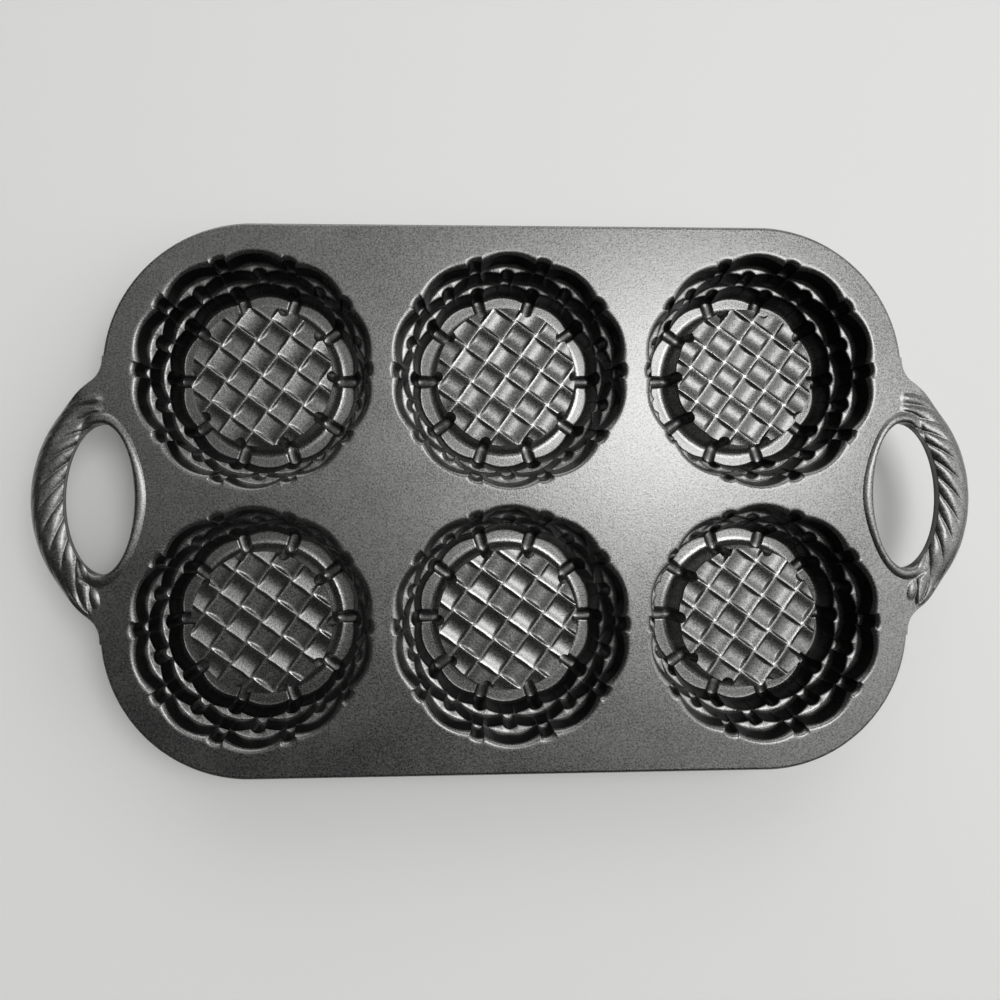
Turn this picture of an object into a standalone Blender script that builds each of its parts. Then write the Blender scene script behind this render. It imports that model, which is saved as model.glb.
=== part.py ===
"""Basket cake pan: a flat cast deck with six basket cups and two rope-twist loop handles.

The pan lies flat with its cups open upwards. X runs along the pan through both handles, Y across it,
and the origin is under the middle of the pan, at the level of the cup bottoms. All sizes are in metres.
"""
import bpy
import bmesh
from math import acos, asin, atan2, cos, hypot, pi, radians, sin, sqrt
from mathutils import Matrix, Vector

# Cups
CUPS_ALONG = 3
CUPS_ACROSS = 2
CUP_DEPTH = 0.030
MOUTH_RADIUS = 0.0486
LIP_SIZE = 0.0012
COLLAR_WIDTH = 0.00135
SEAM_GAP = 0.0003
WEB_WIDTH = 0.0021
FLOOR_THICKNESS = 0.0035
WALL_THICKNESS = 0.0028

# Scallops and stakes of the three tiers
SCALLOPS = 10
SCALLOP_RADIUS = 0.019
TIER_INSET = 0.0036
WALL_DRAFT = 0.0022
FLOOR_DRAFT = 0.0028
STAKE_WIDTH = 0.0076
STAKE_REACH = 0.0024
LEDGE_STAKE_REACH = 0.0011
STAKE_FOOT_WIDTH = 0.0050
STAKE_FOOT_REACH = 0.0021

# Ring floor and woven middle of a cup
RING_WIDTH = 0.0054
MIDDLE_DRAFT = 0.0033
MIDDLE_HEIGHT = 0.0140
WEAVE_PITCH = 0.01082
WEAVE_RIDGE = 0.0008
WEAVE_DEPTH = 0.0012
WEAVE_MARGIN = 0.0007
WEAVE_TURN = radians(54)
GROOVE_RADIUS = 0.0024
GROOVE_DEPTH = 0.0012
GROOVE_WALL_DEPTH = 0.0020

# Deck
DECK_THICKNESS = 0.0040
DECK_MARGIN = 0.0089
DECK_EDGE = 0.0010

# Handles
WINDOW_LENGTH = 0.0610
WINDOW_INNER = 0.0136
WINDOW_OUTER = 0.0159
BEAD_WIDTH = 0.0040
BEAD_HEIGHT = 0.0012
GRIP_WIDTH = 0.0123
GRIP_RADIUS = 0.0595
GRIP_CREST = 0.0030
GRIP_SHOULDER = 0.0015
GRIP_UNDERSIDE = 0.0050
GRIP_FILLET = 0.0110
STRANDS = 11
STRAND_RELIEF = 0.0010
STRAND_SLANT = 1.1
ROPE_FADE = 0.2
BOW_SHARE = 0.9
TAB_DEPTH = 0.0020
TAB_MARGIN = 0.0016

# Facets round a circle, and along the parts of a scallop
COLLAR_SIDES = 30
RECESS_SIDES = 15
MOUTH_SCALLOP_STEPS = 3
LOWER_SCALLOP_STEPS = 2
STAKE_STEPS = 3
GROOVE_STEPS = 3
CORNER_STEPS = 9
WEAVE_STEPS = 3
BOW_STEPS = 55
WING_STEPS = 3
BEAD_STEPS = 14
CROWN_SHARES = (0, 0.1, 0.23, 0.36, 0.5, 0.64, 0.77, 0.9, 1)

COLLAR_RADIUS = MOUTH_RADIUS + LIP_SIZE + COLLAR_WIDTH
HOLE_RADIUS = COLLAR_RADIUS + SEAM_GAP
CUP_PITCH = 2 * HOLE_RADIUS + WEB_WIDTH
RING_RADIUS = MOUTH_RADIUS - 2 * TIER_INSET - FLOOR_DRAFT
MIDDLE_FOOT_RADIUS = RING_RADIUS - RING_WIDTH
MIDDLE_RADIUS = MIDDLE_FOOT_RADIUS - MIDDLE_DRAFT
CORNER_RADIUS = HOLE_RADIUS + DECK_MARGIN
DECK_HALF_LENGTH = CUP_PITCH * (CUPS_ALONG - 1) / 2 + CORNER_RADIUS
DECK_HALF_WIDTH = CUP_PITCH * (CUPS_ACROSS - 1) / 2 + CORNER_RADIUS
DECK_TOP = CUP_DEPTH + FLOOR_THICKNESS
TIER_DROP = CUP_DEPTH / 3
HALF_SCALLOP = pi / SCALLOPS
COATING_COLOUR = (0.2, 0.2, 0.2, 1.0)
COATING_METALLIC = 0.9
COATING_ROUGHNESS = 0.4
OVERSHOOT = 0.001


def clear_scene():
    """Remove every object that the file starts with."""
    for item in list(bpy.data.objects):
        bpy.data.objects.remove(item, do_unlink=True)


def coating(name):
    """Dark graphite non-stick coating over cast aluminium."""
    material = bpy.data.materials.new(name)
    material.use_nodes = True
    shader = material.node_tree.nodes["Principled BSDF"]
    shader.inputs["Base Color"].default_value = COATING_COLOUR
    shader.inputs["Metallic"].default_value = COATING_METALLIC
    shader.inputs["Roughness"].default_value = COATING_ROUGHNESS
    return material


def new_object(name, mesh):
    """Link a mesh to the scene as a named object."""
    item = bpy.data.objects.new(name, mesh)
    bpy.context.scene.collection.objects.link(item)
    return item


def finish_mesh(shape, name):
    """Point all faces outwards and turn the working mesh into a stored one."""
    bmesh.ops.recalc_face_normals(shape, faces=shape.faces)
    mesh = bpy.data.meshes.new(name)
    shape.to_mesh(mesh)
    shape.free()
    return mesh


def loft_mesh(name, rings, closed_round=False):
    """Skin of rings with equally many points; capped at both ends, or closed into a loop."""
    shape = bmesh.new()
    rows = [[shape.verts.new(point) for point in ring] for ring in rings]
    pairs = list(zip(rows, rows[1:]))
    if closed_round:
        pairs.append((rows[-1], rows[0]))
    else:
        shape.faces.new(rows[0])
        shape.faces.new(rows[-1])
    for lower, upper in pairs:
        for i in range(len(lower)):
            j = (i + 1) % len(lower)
            shape.faces.new((lower[i], lower[j], upper[j], upper[i]))
    return finish_mesh(shape, name)


def spun_mesh(name, profile, sides):
    """Solid of revolution about Z from (radius, height) points, capped flat at both ends."""
    rings = []
    for radius, height in profile:
        turns = [2 * pi * i / sides for i in range(sides)]
        rings.append([(radius * cos(turn), radius * sin(turn), height) for turn in turns])
    return loft_mesh(name, rings)


def combine(target, tool_meshes, operation):
    """Cut the tools from the target, or join them to it, and keep only the result."""
    tools = []
    for index, mesh in enumerate(tool_meshes):
        tool = new_object(f"{target.name}_tool_{index}", mesh)
        tool.hide_render = True
        tool.display_type = "WIRE"
        tools.append(tool)
        step = target.modifiers.new(f"{operation.lower()}_{index}", "BOOLEAN")
        step.operation = operation
        step.solver = "EXACT"
        step.object = tool
    graph = bpy.context.evaluated_depsgraph_get()
    result = bpy.data.meshes.new_from_object(target.evaluated_get(graph))
    target.modifiers.clear()
    target.data = result
    for tool in tools:
        bpy.data.objects.remove(tool, do_unlink=True)


def joined_mesh(name, meshes):
    """Several closed meshes as the separate shells of one."""
    shape = bmesh.new()
    for mesh in meshes:
        shape.from_mesh(mesh)
    mesh = bpy.data.meshes.new(name)
    shape.to_mesh(mesh)
    shape.free()
    return mesh


def scallop_reach(top, angle):
    """Distance from the cup's axis to a scallop, at an angle from the scallop's middle."""
    centre = top - SCALLOP_RADIUS
    return centre * cos(angle) + sqrt(SCALLOP_RADIUS ** 2 - (centre * sin(angle)) ** 2)


def tier_outline(top, stake_width, stake_reach, tier, height):
    """Closed outline of one tier: scallops that bulge outwards, with a round stake over each cusp."""
    phase = HALF_SCALLOP * (tier % 2)
    steps = LOWER_SCALLOP_STEPS if tier else MOUTH_SCALLOP_STEPS
    half_stake = asin(stake_width / 2 / top)
    cusp = scallop_reach(top, HALF_SCALLOP - half_stake)
    points = []
    for number in range(SCALLOPS):
        stake = phase + 2 * HALF_SCALLOP * number
        for step in range(STAKE_STEPS + 1):
            sweep = -pi / 2 + pi * step / STAKE_STEPS
            points.append((stake + half_stake * sin(sweep), cusp + stake_reach * cos(sweep)))
        spread = HALF_SCALLOP - half_stake
        for step in range(1, steps):
            offset = spread * (2 * step / steps - 1)
            points.append((stake + HALF_SCALLOP + offset, scallop_reach(top, offset)))
    return [(radius * cos(turn), radius * sin(turn), height) for turn, radius in points]


def tier_mesh(tier):
    """Cutter for one tier of the cavity; its upper end lies inside the tier above."""
    top_radius = MOUTH_RADIUS - TIER_INSET * tier
    draft = FLOOR_DRAFT if tier == 2 else WALL_DRAFT
    top_height = DECK_TOP - TIER_DROP * tier
    foot_height = top_height - TIER_DROP
    rings = []
    above = top_height + OVERSHOOT
    if tier == 0:
        flared = top_radius + LIP_SIZE + OVERSHOOT
        rings.append(tier_outline(flared, STAKE_WIDTH, STAKE_REACH, tier, above))
        rings.append(tier_outline(top_radius, STAKE_WIDTH, STAKE_REACH, tier, top_height - LIP_SIZE))
    else:
        inner = top_radius - 2 * OVERSHOOT
        rings.append(tier_outline(inner, STAKE_WIDTH, LEDGE_STAKE_REACH, tier, above))
        rings.append(tier_outline(top_radius, STAKE_WIDTH, LEDGE_STAKE_REACH, tier, top_height))
    foot = top_radius - draft
    rings.append(tier_outline(foot, STAKE_FOOT_WIDTH, STAKE_FOOT_REACH, tier, foot_height))
    return loft_mesh(f"tier_{tier}", rings)


def cup_body_mesh():
    """Outside of a cup, which narrows tier by tier, before the cavity is cut."""
    collar_base = DECK_TOP - DECK_THICKNESS
    profile = [(COLLAR_RADIUS, DECK_TOP), (COLLAR_RADIUS, collar_base)]
    for tier in range(3):
        draft = FLOOR_DRAFT if tier == 2 else WALL_DRAFT
        inside_foot = MOUTH_RADIUS - TIER_INSET * tier - draft
        foot_height = DECK_TOP - TIER_DROP * (tier + 1) - FLOOR_THICKNESS
        profile.append((inside_foot + WALL_THICKNESS, foot_height))
    return spun_mesh("cup_body", profile, COLLAR_SIDES)


def middle_mesh():
    """Raised middle of the cup, rooted in the floor."""
    floor = DECK_TOP - CUP_DEPTH
    root = floor - FLOOR_THICKNESS / 2
    profile = [
        (MIDDLE_FOOT_RADIUS, root),
        (MIDDLE_FOOT_RADIUS, floor),
        (MIDDLE_RADIUS, floor + MIDDLE_HEIGHT),
    ]
    return spun_mesh("middle", profile, COLLAR_SIDES)


def recess_mesh():
    """Hollow under the raised middle, which keeps the casting evenly thick, also behind the grooves."""
    floor = DECK_TOP - CUP_DEPTH
    ceiling = floor + MIDDLE_HEIGHT - FLOOR_THICKNESS
    wall = WALL_THICKNESS + GROOVE_WALL_DEPTH / 2
    profile = [
        (MIDDLE_FOOT_RADIUS - wall, floor - FLOOR_THICKNESS - OVERSHOOT),
        (MIDDLE_RADIUS - wall, ceiling),
    ]
    return spun_mesh("recess", profile, RECESS_SIDES)


def groove_meshes():
    """Round cross grooves: down the wall of the middle and out over the ring floor, one at each stake."""
    floor = DECK_TOP - CUP_DEPTH
    top = floor + MIDDLE_HEIGHT
    slope = (MIDDLE_FOOT_RADIUS - MIDDLE_RADIUS) / MIDDLE_HEIGHT
    offset = GROOVE_RADIUS - GROOVE_WALL_DEPTH
    bed = floor + GROOVE_RADIUS - GROOVE_DEPTH
    rise = 2 * OVERSHOOT
    end = RING_RADIUS - OVERSHOOT
    path = [
        (MIDDLE_RADIUS + offset - slope * rise, top + rise),
        (MIDDLE_FOOT_RADIUS + offset - slope * (bed - floor), bed),
        (end, bed),
    ]
    lean = atan2(slope, 1.0)
    tilts = [lean, (pi / 2 + lean) / 2, pi / 2]
    section = [pi * (1 + step / GROOVE_STEPS) for step in range(GROOVE_STEPS + 1)]
    meshes = []
    for number in range(SCALLOPS):
        turn = Matrix.Rotation(2 * HALF_SCALLOP * number, 3, "Z")
        rings = []
        for (radius, height), tilt in zip(path, tilts):
            ring = []
            for angle in section:
                across = GROOVE_RADIUS * cos(angle)
                inward = GROOVE_RADIUS * sin(angle)
                point = Vector((radius + inward * cos(tilt), across, height + inward * sin(tilt)))
                ring.append(turn @ point)
            rings.append(ring)
        meshes.append(loft_mesh(f"groove_{number}", rings))
    return meshes


def weave_cell(column, row):
    """Trough of one woven strip where it shows, on a square cell; strips alternate in direction."""
    top = DECK_TOP - CUP_DEPTH + MIDDLE_HEIGHT
    half = (WEAVE_PITCH - WEAVE_RIDGE) / 2
    curve = (half ** 2 + WEAVE_DEPTH ** 2) / (2 * WEAVE_DEPTH)
    opening = asin(half / curve)
    arc = [opening * (2 * step / WEAVE_STEPS - 1) for step in range(WEAVE_STEPS + 1)]
    bottom = [(curve * sin(a), top + curve - WEAVE_DEPTH - curve * cos(a)) for a in arc]
    outline = [(-half, top + OVERSHOOT)] + bottom + [(half, top + OVERSHOOT)]
    centre = Vector(((column + 0.5) * WEAVE_PITCH, (row + 0.5) * WEAVE_PITCH, 0))
    along_first = (column + row) % 2 == 1
    turn = Matrix.Rotation(WEAVE_TURN, 3, "Z")
    rings = []
    for side in (-half, half):
        ring = []
        for along, height in outline:
            local = Vector((along, side, height)) if along_first else Vector((side, along, height))
            ring.append(turn @ (local + centre))
        rings.append(ring)
    return loft_mesh(f"cell_{column}_{row}", rings)


def weave_mesh():
    """All troughs of the woven middle, cut off at a circle just inside its edge."""
    reach = int(MIDDLE_RADIUS / WEAVE_PITCH) + 1
    border = MIDDLE_RADIUS - WEAVE_MARGIN
    cells = []
    for column in range(-reach, reach):
        for row in range(-reach, reach):
            nearest_x = max(0.0, abs(column + 0.5) - 0.5) * WEAVE_PITCH
            nearest_y = max(0.0, abs(row + 0.5) - 0.5) * WEAVE_PITCH
            if hypot(nearest_x, nearest_y) < border - 2 * OVERSHOOT:
                cells.append(weave_cell(column, row))
    holder = new_object("weave", joined_mesh("weave", cells))
    top = DECK_TOP - CUP_DEPTH + MIDDLE_HEIGHT
    disc = spun_mesh("disc", [(border, top - CUP_DEPTH), (border, top + CUP_DEPTH)], COLLAR_SIDES)
    combine(holder, [disc], "INTERSECT")
    mesh = holder.data
    bpy.data.objects.remove(holder, do_unlink=True)
    return mesh


def basket_cup_mesh():
    """One cup at the origin: body, three tiers cut out, middle added, recess, grooves and weave cut."""
    cup = new_object("cup", cup_body_mesh())
    combine(cup, [tier_mesh(tier) for tier in range(3)], "DIFFERENCE")
    combine(cup, [middle_mesh()], "UNION")
    combine(cup, [recess_mesh(), joined_mesh("grooves", groove_meshes()), weave_mesh()], "DIFFERENCE")
    mesh = cup.data
    bpy.data.objects.remove(cup, do_unlink=True)
    return mesh


def cup_places():
    """Name and centre of each cup, counted from the left and from the back."""
    along = {0: "left", CUPS_ALONG - 1: "right"}
    across = {0: "back", CUPS_ACROSS - 1: "front"}
    places = []
    for row in range(CUPS_ACROSS):
        for column in range(CUPS_ALONG):
            x = (column - (CUPS_ALONG - 1) / 2) * CUP_PITCH
            y = ((CUPS_ACROSS - 1) / 2 - row) * CUP_PITCH
            side = along.get(column, "middle")
            places.append((f"basket_cup_{across.get(row, 'middle')}_{side}", x, y))
    return places


def build_cups():
    """Place a copy of the cup at each of its places."""
    mesh = basket_cup_mesh()
    for name, x, y in cup_places():
        cup = new_object(name, mesh.copy())
        cup.location = (x, y, 0)
        cup.data.materials.clear()
        cup.data.materials.append(coating(f"{name}_coating"))


def ellipse_point(turn, outer, inner, half_length):
    """Point of an oval about the window's middle, with its own half width on each side."""
    half_width = outer if cos(turn) > 0 else inner
    return half_width * cos(turn), half_length * sin(turn)


def handle_layout():
    """Measures of a handle, with X outwards from the deck's edge."""
    half_window = WINDOW_LENGTH / 2
    grip_centre = WINDOW_OUTER + GRIP_WIDTH - GRIP_RADIUS
    fillet_reach = GRIP_RADIUS + GRIP_FILLET
    fillet_y = sqrt(fillet_reach ** 2 - (GRIP_FILLET - grip_centre) ** 2)
    return half_window, grip_centre, fillet_y


def grip_tip():
    """Angle about the bow's centre at which the ends of the window lie."""
    half_window, grip_centre, _ = handle_layout()
    return atan2(half_window, -grip_centre)


def notch_mesh():
    """Space in the deck for a handle: its tab along the edge and the oval of its bead."""
    half_window, _, fillet_y = handle_layout()
    bottom = DECK_TOP - DECK_THICKNESS - OVERSHOOT
    top = DECK_TOP + OVERSHOOT
    oval = []
    for i in range(COLLAR_SIDES):
        turn = 2 * pi * i / COLLAR_SIDES
        bead = BEAD_WIDTH + SEAM_GAP
        oval.append(ellipse_point(turn, WINDOW_OUTER + bead, WINDOW_INNER + bead, half_window + bead))
    tab = fillet_y + TAB_MARGIN + SEAM_GAP
    inside = -TAB_DEPTH - SEAM_GAP
    outside = WINDOW_OUTER + GRIP_WIDTH
    slot = [(inside, -tab), (outside, -tab), (outside, tab), (inside, tab)]
    meshes = []
    for outline in (oval, slot):
        meshes.append(loft_mesh("notch", [[(x, y, z) for x, y in outline] for z in (bottom, top)]))
    return meshes


def deck_mesh():
    """Plate with rounded corners and a bevelled outer edge, with the cup holes and handle notches cut."""
    corners = [(1, 1, 0), (-1, 1, 1), (-1, -1, 2), (1, -1, 3)]
    outline = []
    for sign_x, sign_y, quarter in corners:
        centre_x = sign_x * (DECK_HALF_LENGTH - CORNER_RADIUS)
        centre_y = sign_y * (DECK_HALF_WIDTH - CORNER_RADIUS)
        for step in range(CORNER_STEPS + 1):
            turn = pi / 2 * (quarter + step / CORNER_STEPS)
            outline.append((centre_x, centre_y, cos(turn), sin(turn)))
    rings = []
    base = DECK_TOP - DECK_THICKNESS
    edge = [(DECK_EDGE, base), (0, base + DECK_EDGE), (0, DECK_TOP - DECK_EDGE), (DECK_EDGE, DECK_TOP)]
    for inset, height in edge:
        reach = CORNER_RADIUS - inset
        rings.append([(x + reach * c, y + reach * s, height) for x, y, c, s in outline])
    deck = new_object("deck", loft_mesh("deck", rings))
    cutters = []
    for _, x, y in cup_places():
        profile = [(HOLE_RADIUS, base - OVERSHOOT), (HOLE_RADIUS, DECK_TOP + OVERSHOOT)]
        hole = spun_mesh("hole", profile, COLLAR_SIDES)
        hole.transform(Matrix.Translation((x, y, 0)))
        cutters.append(hole)
    for side in (0, pi):
        for notch in notch_mesh():
            place = Matrix.Rotation(side, 4, "Z") @ Matrix.Translation((DECK_HALF_LENGTH, 0, 0))
            notch.transform(place)
            cutters.append(notch)
    combine(deck, cutters, "DIFFERENCE")
    mesh = deck.data
    bpy.data.objects.remove(deck, do_unlink=True)
    return mesh


def build_deck():
    """The deck plate as one object."""
    deck = new_object("deck_plate", deck_mesh())
    deck.data.materials.clear()
    deck.data.materials.append(coating("deck_plate_coating"))


def smooth_step(value):
    """Rise from 0 to 1 with level ends."""
    value = min(1.0, max(0.0, value))
    return value * value * (3 - 2 * value)


def grip_share(x, y):
    """How much of the rope grip stands at a point: 1 along the bow, 0 on the tabs."""
    _, grip_centre, _ = handle_layout()
    turn = abs(atan2(y, x - grip_centre))
    tip = grip_tip()
    return 1 - smooth_step((turn - tip) / (tip * ROPE_FADE))


def handle_top(x, y):
    """Height of the handle above the deck: the bead round the window and the slanted rope strands."""
    half_window, grip_centre, _ = handle_layout()
    reach = hypot(x, y)
    turn = atan2(y / half_window, x / (WINDOW_OUTER if x > 0 else WINDOW_INNER))
    inner = hypot(*ellipse_point(turn, WINDOW_OUTER, WINDOW_INNER, half_window))
    across = (reach - inner) / BEAD_WIDTH
    bead = BEAD_HEIGHT * sqrt(max(0.0, 1 - (2 * across - 1) ** 2))
    radius = hypot(x - grip_centre, y)
    turn = atan2(y, x - grip_centre)
    middle = GRIP_RADIUS - GRIP_WIDTH / 2
    side = max(-1.0, min(1.0, (radius - middle) / (GRIP_WIDTH / 2)))
    arch = (GRIP_CREST + GRIP_SHOULDER) * sqrt(1 - side * side) - GRIP_SHOULDER
    strand_turn = 2 * grip_tip() * (1 + ROPE_FADE) / STRANDS
    strand = cos(pi * (turn / strand_turn + side * STRAND_SLANT)) ** 2
    rope = arch - STRAND_RELIEF * strand * sqrt(1 - side * side)
    share = grip_share(x, y)
    return share * rope + (1 - share) * bead


def handle_base(x, y):
    """Height of the handle's underside, which hangs lower under the grip than under the tabs."""
    drop = GRIP_UNDERSIDE - DECK_THICKNESS
    return DECK_TOP - DECK_THICKNESS - drop * grip_share(x, y)


def handle_stations():
    """Matching points on the window's edge and on the outside of the handle, once round."""
    half_window, grip_centre, fillet_y = handle_layout()
    bow_end = BOW_SHARE * grip_tip()
    stations = []
    for step in range(BOW_STEPS + 1):
        turn = bow_end * (2 * step / BOW_STEPS - 1)
        c = cos(turn)
        s = sin(turn)
        a = (c / WINDOW_OUTER) ** 2 + (s / half_window) ** 2
        b = grip_centre * c / WINDOW_OUTER ** 2
        k = (grip_centre / WINDOW_OUTER) ** 2 - 1
        reach = (-b + sqrt(b * b - a * k)) / a
        inner = (grip_centre + reach * c, reach * s)
        outer = (grip_centre + GRIP_RADIUS * c, GRIP_RADIUS * s)
        stations.append((inner, outer))
    last_x, last_y = stations[-1][0]
    start = atan2(last_y / half_window, last_x / WINDOW_OUTER)
    touch = atan2(fillet_y, GRIP_FILLET - grip_centre)
    wing = []
    for step in range(1, WING_STEPS + 1):
        turn = bow_end + (touch - bow_end) * step / WING_STEPS
        wing.append((grip_centre + GRIP_RADIUS * cos(turn), GRIP_RADIUS * sin(turn)))
    for step in range(1, WING_STEPS + 1):
        turn = pi + touch * (1 - step / WING_STEPS)
        wing.append((GRIP_FILLET + GRIP_FILLET * cos(turn), fillet_y + GRIP_FILLET * sin(turn)))
    bead = BEAD_WIDTH
    oval = (WINDOW_OUTER + bead, WINDOW_INNER + bead, half_window + bead)
    join = acos(-TAB_DEPTH / oval[1])
    join_y = oval[2] * sin(join)
    tab_end = fillet_y + TAB_MARGIN
    wing.append((0, tab_end))
    wing.append((-TAB_DEPTH, tab_end))
    wing.append((-TAB_DEPTH, (tab_end + join_y) / 2))
    wing.append((-TAB_DEPTH, join_y))
    upper = []
    for step, outer in enumerate(wing):
        turn = start + (join - start) * (step + 1) / len(wing)
        upper.append((ellipse_point(turn, WINDOW_OUTER, WINDOW_INNER, half_window), outer))
    back = []
    for step in range(1, BEAD_STEPS):
        turn = join + 2 * (pi - join) * step / BEAD_STEPS
        edge = ellipse_point(turn, WINDOW_OUTER, WINDOW_INNER, half_window)
        back.append((edge, ellipse_point(turn, *oval)))
    lower = [((a, -b), (c, -d)) for (a, b), (c, d) in reversed(upper)]
    return stations + upper + back + lower


def handle_mesh(flip):
    """Closed ring of sections round the window, each across from the window's edge to the outside."""
    rings = []
    for inner, outer in handle_stations():
        length = hypot(outer[0] - inner[0], outer[1] - inner[1])
        bead_share = min(1.0, BEAD_WIDTH / length)
        grip = grip_share(*inner)
        crown = []
        for share in CROWN_SHARES:
            narrow = share * bead_share / CROWN_SHARES[-2] if share < 1 else 1
            place = grip * share + (1 - grip) * narrow
            x = inner[0] + (outer[0] - inner[0]) * place
            y = inner[1] + (outer[1] - inner[1]) * place
            crown.append((x, y, DECK_TOP + handle_top(x, y)))
        ring = [(*inner, handle_base(*inner))] + crown + [(*outer, handle_base(*outer))]
        rings.append([(flip * x, y, z) for x, y, z in ring])
    return loft_mesh("handle", rings, closed_round=True)


def build_handles():
    """A handle at each end of the deck, mirror images of each other."""
    for name, side in (("rope_handle_left", -1), ("rope_handle_right", 1)):
        handle = new_object(name, handle_mesh(side))
        handle.location = (side * DECK_HALF_LENGTH, 0, 0)
        handle.data.materials.append(coating(f"{name}_coating"))


def shade(item):
    """Smooth shading that stays sharp at real corners."""
    item.data.shade_smooth()
    item.data.set_sharp_from_angle(angle=radians(35))


def main():
    """Build the whole pan."""
    clear_scene()
    build_deck()
    build_cups()
    build_handles()
    for item in bpy.context.scene.objects:
        shade(item)


main()
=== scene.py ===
"""Cast basket cake pan: six woven cups in a flat deck, with two rope-twist loop handles.

Lengths in the shape functions are millimetres in the pan's own frame: X along the pan through the handles, Y
across it, and heights counted from the top of the deck. Meshes are stored in metres. A handle is worked out
about the place where its window's middle line crosses the deck's edge, with X outwards, as the one on the
right.
"""

import bpy
import numpy as np
from mathutils import Matrix, Vector
from mathutils.geometry import delaunay_2d_cdt


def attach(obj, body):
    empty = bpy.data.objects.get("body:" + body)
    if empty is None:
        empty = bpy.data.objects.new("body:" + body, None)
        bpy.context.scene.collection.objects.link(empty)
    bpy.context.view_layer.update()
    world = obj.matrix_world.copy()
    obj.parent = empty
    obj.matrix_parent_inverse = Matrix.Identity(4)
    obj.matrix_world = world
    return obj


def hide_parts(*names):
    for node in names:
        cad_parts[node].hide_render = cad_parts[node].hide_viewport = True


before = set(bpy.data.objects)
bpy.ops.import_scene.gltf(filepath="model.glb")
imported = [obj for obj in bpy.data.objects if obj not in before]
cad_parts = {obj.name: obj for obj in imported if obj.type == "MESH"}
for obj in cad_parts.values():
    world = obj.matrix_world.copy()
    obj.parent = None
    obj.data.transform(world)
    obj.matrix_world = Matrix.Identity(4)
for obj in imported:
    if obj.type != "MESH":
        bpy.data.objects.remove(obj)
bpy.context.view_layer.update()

MM = 0.001
DECK_HEIGHT = 33.5
CUP_X = 105.0
CUP_Y = 52.5
CUPS = {
    "basket_cup_back_left": (-CUP_X, CUP_Y),
    "basket_cup_back_middle": (0.0, CUP_Y),
    "basket_cup_back_right": (CUP_X, CUP_Y),
    "basket_cup_front_left": (-CUP_X, -CUP_Y),
    "basket_cup_front_middle": (0.0, -CUP_Y),
    "basket_cup_front_right": (CUP_X, -CUP_Y),
}
SHARP_ANGLE = np.radians(62)
MERGE_DISTANCE = 1e-5

# Deck
HALF_LENGTH = 165.35
HALF_WIDTH = 112.85
CORNER = 60.35
CORNER_Y = HALF_WIDTH - CORNER
CORNER_POINTS = 61
DECK_THICK = 4.0
EDGE_ROUNDING = 1.4
EDGE_POINTS = 9
SUPPORT = 0.15
HOLE_MARGIN = 0.999999

# Cup: ten scallops round each tier, with a stake between each two
PERIODS = 10
HALF_PERIOD = np.pi / PERIODS
STAKE_COLUMNS = 8
SCALLOP_COLUMNS = 14
COLUMNS = 2 * PERIODS * (2 * STAKE_COLUMNS + SCALLOP_COLUMNS)
PLAIN_KNOT = np.radians(4.0)
SCALLOP = 19.0
COLLAR = 51.3
MOUTH = 48.4
LEDGE_FALL = 0.22
LEDGE_LEAST = 0.1
LEDGE_BLEND = 0.2
TIER_DROP = 10.0
FLOOR = -30.0
BASE = -33.5
WALL = 2.8
LIP_LEG = 1.6
LIP_SPREAD = 0.43

# Tiers from the mouth down: reach of the wall's top and foot, how far the stakes stand out there, the stakes'
# half widths as angles, and the angle of the middle of a scallop
TIER_TOPS = (MOUTH, 45.0, 41.4)
TIER_FEET = (46.4, 42.8, 38.6)
TOP_REACHES = (1.85, 1.7, 1.6)
FOOT_REACHES = (2.1, 2.1, 1.3)
STAKE_RADII = (48.6, 45.0, 41.4)
STAKE_HALF = 3.2
FOOT_STAKE_HALF = 2.5
TOP_TURNS = np.arcsin(STAKE_HALF / np.array(STAKE_RADII))
FOOT_TURNS = np.arcsin(FOOT_STAKE_HALF / np.array(TIER_FEET))
PHASES = (HALF_PERIOD, 0.0, HALF_PERIOD)

# Raised middle and the cross grooves in the ring floor
MIDDLE_TOP = -16.0
MIDDLE_EDGE = 29.9
MIDDLE_FOOT = 31.7
MIDDLE_SLOPE = (MIDDLE_FOOT - MIDDLE_EDGE) / (MIDDLE_TOP - FLOOR)
GROOVE_RADIUS = 2.5
GROOVE_DEPTH = 1.25

# Underside of a cup from the deck down: inside reach, how far the stakes stand out, a scallop's middle, and
# height
OUTSIDE_KNOT = np.radians(4.48)
OUTSIDE_STAKE = np.radians(4.0)
OUTSIDE_TIERS = (
    (48.2, 2.2, HALF_PERIOD, -DECK_THICK),
    (46.4, 2.0, HALF_PERIOD, -TIER_DROP - 3.4),
    (44.6, 1.6, 0.0, -TIER_DROP - 3.6),
    (42.8, 1.6, 0.0, -2 * TIER_DROP - 3.4),
    (41.0, 1.2, HALF_PERIOD, -2 * TIER_DROP - 3.6),
    (38.6, 1.2, HALF_PERIOD, BASE),
)
HOLLOW_TOP = MIDDLE_TOP - 3.5
HOLLOW = ((29.4, BASE), (26.1, HOLLOW_TOP), (2.0, HOLLOW_TOP))

# Weave
PITCH = 10.82
WEAVE_TURN = np.radians(-36.0)
WEAVE_SHIFT = 0.33
TROUGH_DEPTH = 1.2
TROUGH_CURVE = 11.3
STRIP_HALF = 4.68
STRIP_NARROWING = 0.4
STRIP_WALL = 0.8
STRIP_FILLET = 0.7
RIDGE_ROUNDING = 0.6
CELLS = 4
LINES_BESIDE_RIDGE = (0, 0.12, 0.24, 0.36, 0.48, 0.62, 0.8, 1.05, 1.4, 1.9, 2.6, 3.4, 4.35)
GRID_CLEARANCE = 0.22

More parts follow.
